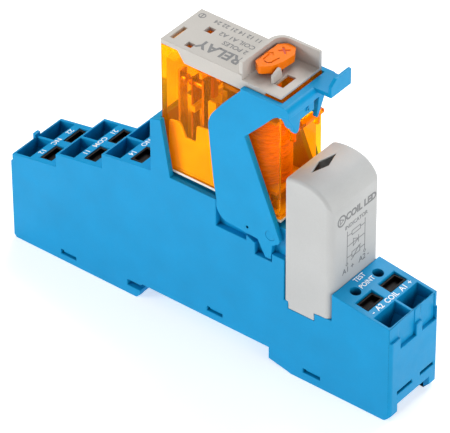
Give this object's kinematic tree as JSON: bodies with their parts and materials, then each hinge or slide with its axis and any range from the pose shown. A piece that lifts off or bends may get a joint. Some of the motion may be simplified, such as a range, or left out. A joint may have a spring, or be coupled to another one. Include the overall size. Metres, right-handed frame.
{
  "type": "plug-in relay",
  "caption": "Narrow plug-in relay with an amber cover in a blue DIN-rail socket, with push-in terminals, a retaining clip and a grey coil module.",
  "frame": {"origin": "under the middle of the socket, at the plane of its feet", "axes": "+X along the socket towards the coil terminals, +Y across its width, +Z away from the rail"},
  "size_m": [0.0986, 0.0158, 0.0705],
  "materials": {
    "socket_blue": "moulded polyamide, satin",
    "clip_blue": "moulded polyamide, satin",
    "spring_steel": "bright stainless strip",
    "relay_white": "moulded warm white, satin",
    "amber_cover": "clear amber polycarbonate",
    "test_orange": "moulded orange, satin",
    "contact_alloy": "tinned brass strip",
    "contact_bronze": "bronze strip with bright rivets",
    "bobbin_plastic": "moulded, dark",
    "copper_winding": "enamelled copper wire in close turns",
    "soft_iron": "plated soft iron",
    "card_plastic": "moulded, cream",
    "flag_plastic": "moulded orange",
    "module_grey": "moulded light grey, fine satin",
    "lens_dark": "smoked light pipe",
    "circuit_board": "glass-fibre laminate with green mask",
    "varistor_blue": "dipped epoxy",
    "resistor_body": "coated axial body",
    "diode_black": "moulded epoxy",
    "lamp_green": "diffused lamp body",
    "button_black": "moulded black, satin"
  },
  "bodies": {
    "socket": {"socket_housing": "socket_blue", "rail_base": "socket_blue", "rail_latch_spring": "spring_steel", "clamp_springs": "spring_steel", "busbar_12": "contact_alloy", "busbar_22": "contact_alloy", "busbar_11": "contact_alloy", "busbar_21": "contact_alloy", "busbar_14": "contact_alloy", "busbar_24": "contact_alloy", "busbar_a2": "contact_alloy", "busbar_a1": "contact_alloy"},
    "rail_latch": {"rail_latch": "socket_blue"},
    "clip": {"retaining_clip": "clip_blue"},
    "relay": {"relay_base": "relay_white", "relay_cover": "amber_cover", "relay_cap": "relay_white", "fixed_contacts_no": "contact_alloy", "fixed_contacts_nc": "contact_alloy", "common_terminals": "contact_alloy", "coil_pins": "contact_alloy", "coil_bobbin": "bobbin_plastic", "coil_winding": "copper_winding", "coil_core": "soft_iron", "yoke": "soft_iron", "armature_spring": "spring_steel"},
    "test_button": {"test_button": "test_orange"},
    "armature": {"armature": "soft_iron"},
    "card": {"pusher_card": "card_plastic", "indicator_flag": "flag_plastic"},
    "moving_contacts": {"moving_contact_1": "contact_bronze", "moving_contact_2": "contact_bronze"},
    "module": {"module_cover": "module_grey", "module_lens": "lens_dark", "module_base": "module_grey", "module_pins": "contact_alloy", "module_board": "circuit_board", "module_varistor": "varistor_blue", "module_resistor": "resistor_body", "module_diode": "diode_black", "module_lamp": "lamp_green"},
    "button_12": {"release_button_12": "button_black"},
    "tongue_12": {"clamp_tongue_12": "spring_steel"},
    "button_22": {"release_button_22": "button_black"},
    "tongue_22": {"clamp_tongue_22": "spring_steel"},
    "button_11": {"release_button_11": "button_black"},
    "tongue_11": {"clamp_tongue_11": "spring_steel"},
    "button_21": {"release_button_21": "button_black"},
    "tongue_21": {"clamp_tongue_21": "spring_steel"},
    "button_14": {"release_button_14": "button_black"},
    "tongue_14": {"clamp_tongue_14": "spring_steel"},
    "button_24": {"release_button_24": "button_black"},
    "tongue_24": {"clamp_tongue_24": "spring_steel"},
    "button_a2": {"release_button_a2": "button_black"},
    "tongue_a2": {"clamp_tongue_a2": "spring_steel"},
    "button_a1": {"release_button_a1": "button_black"},
    "tongue_a1": {"clamp_tongue_a1": "spring_steel"}
  },
  "joints": [
    {"name": "rail_latch_slide", "type": "slide", "parent": "socket", "child": "rail_latch", "axis": [1, 0, 0], "range_m": [0, 0.002], "stiffness_N_per_m": 1200, "springref_m": -0.002, "deforming": ["rail_latch_spring"]},
    {"name": "clip_hinge", "type": "hinge", "parent": "socket", "child": "clip", "pos_m": [0.019, 0, 0.0328], "axis": [0, 1, 0], "range_deg": [0, 20]},
    {"name": "relay_lift", "type": "slide", "parent": "socket", "child": "relay", "axis": [0, 0, 1], "range_m": [0, 0.0043]},
    {"name": "module_slide", "type": "slide", "parent": "socket", "child": "module", "axis": [0, 0, 1], "range_m": [0, 0.005]},
    {"name": "test_button_press", "type": "slide", "parent": "relay", "child": "test_button", "axis": [0, 0, -1], "range_m": [0, 0.0012], "stiffness_N_per_m": 400, "springref_m": -0.001},
    {"name": "armature_pull", "type": "hinge", "parent": "relay", "child": "armature", "pos_m": [0.0046, 0, 0.0601], "axis": [0, 1, 0], "range_deg": [0, 5], "stiffness_Nm_per_rad": 0.01, "springref_deg": -2.86},
    {"name": "card_slide", "type": "slide", "parent": "relay", "child": "card", "axis": [-1, 0, 0], "range_m": [0, 0.00065]},
    {"name": "contact_swing", "type": "hinge", "parent": "relay", "child": "moving_contacts", "pos_m": [-0.00275, 0, 0.039], "axis": [0, -1, 0], "range_deg": [0, 3.5]},
    {"name": "release_12_press", "type": "slide", "parent": "socket", "child": "button_12", "axis": [0, 0, -1], "range_m": [0, 0.0016], "stiffness_N_per_m": 600, "springref_m": -0.001},
    {"name": "tongue_12_swing", "type": "hinge", "parent": "socket", "child": "tongue_12", "pos_m": [-0.03766, -0.00375, 0.0135], "axis": [0, -1, 0], "range_deg": [0, 20.7]},
    {"name": "release_22_press", "type": "slide", "parent": "socket", "child": "button_22", "axis": [0, 0, -1], "range_m": [0, 0.0016], "stiffness_N_per_m": 600, "springref_m": -0.001},
    {"name": "tongue_22_swing", "type": "hinge", "parent": "socket", "child": "tongue_22", "pos_m": [-0.03766, 0.00375, 0.0135], "axis": [0, -1, 0], "range_deg": [0, 20.7]},
    {"name": "release_11_press", "type": "slide", "parent": "socket", "child": "button_11", "axis": [0, 0, -1], "range_m": [0, 0.0016], "stiffness_N_per_m": 600, "springref_m": -0.001},
    {"name": "tongue_11_swing", "type": "hinge", "parent": "socket", "child": "tongue_11", "pos_m": [-0.0256, -0.00375, 0.0189], "axis": [0, -1, 0], "range_deg": [0, 20.7]},
    {"name": "release_21_press", "type": "slide", "parent": "socket", "child": "button_21", "axis": [0, 0, -1], "range_m": [0, 0.0016], "stiffness_N_per_m": 600, "springref_m": -0.001},
    {"name": "tongue_21_swing", "type": "hinge", "parent": "socket", "child": "tongue_21", "pos_m": [-0.0256, 0.00375, 0.0189], "axis": [0, -1, 0], "range_deg": [0, 20.7]},
    {"name": "release_14_press", "type": "slide", "parent": "socket", "child": "button_14", "axis": [0, 0, -1], "range_m": [0, 0.0016], "stiffness_N_per_m": 600, "springref_m": -0.001},
    {"name": "tongue_14_swing", "type": "hinge", "parent": "socket", "child": "tongue_14", "pos_m": [-0.0132, -0.00375, 0.0246], "axis": [0, -1, 0], "range_deg": [0, 20.7]},
    {"name": "release_24_press", "type": "slide", "parent": "socket", "child": "button_24", "axis": [0, 0, -1], "range_m": [0, 0.0016], "stiffness_N_per_m": 600, "springref_m": -0.001},
    {"name": "tongue_24_swing", "type": "hinge", "parent": "socket", "child": "tongue_24", "pos_m": [-0.0132, 0.00375, 0.0246], "axis": [0, -1, 0], "range_deg": [0, 20.7]},
    {"name": "release_a2_press", "type": "slide", "parent": "socket", "child": "button_a2", "axis": [0, 0, -1], "range_m": [0, 0.0016], "stiffness_N_per_m": 600, "springref_m": -0.001},
    {"name": "tongue_a2_swing", "type": "hinge", "parent": "socket", "child": "tongue_a2", "pos_m": [0.03755, -0.00375, 0.0151], "axis": [0, 1, 0], "range_deg": [0, 20.7]},
    {"name": "release_a1_press", "type": "slide", "parent": "socket", "child": "button_a1", "axis": [0, 0, -1], "range_m": [0, 0.0016], "stiffness_N_per_m": 600, "springref_m": -0.001},
    {"name": "tongue_a1_swing", "type": "hinge", "parent": "socket", "child": "tongue_a1", "pos_m": [0.03755, 0.00375, 0.0151], "axis": [0, 1, 0], "range_deg": [0, 20.7]}
  ],
  "couplings": [
    {"joint": "clip_hinge", "follows": "relay_lift", "rad_per_m": 81.1},
    {"joint": "card_slide", "follows": "armature_pull", "m_per_rad": 0.007105},
    {"joint": "contact_swing", "follows": "armature_pull", "ratio": 0.5157},
    {"joint": "tongue_12_swing", "follows": "release_12_press", "rad_per_m": 225},
    {"joint": "tongue_22_swing", "follows": "release_22_press", "rad_per_m": 225},
    {"joint": "tongue_11_swing", "follows": "release_11_press", "rad_per_m": 225},
    {"joint": "tongue_21_swing", "follows": "release_21_press", "rad_per_m": 225},
    {"joint": "tongue_14_swing", "follows": "release_14_press", "rad_per_m": 225},
    {"joint": "tongue_24_swing", "follows": "release_24_press", "rad_per_m": 225},
    {"joint": "tongue_a2_swing", "follows": "release_a2_press", "rad_per_m": 225},
    {"joint": "tongue_a1_swing", "follows": "release_a1_press", "rad_per_m": 225}
  ]
}
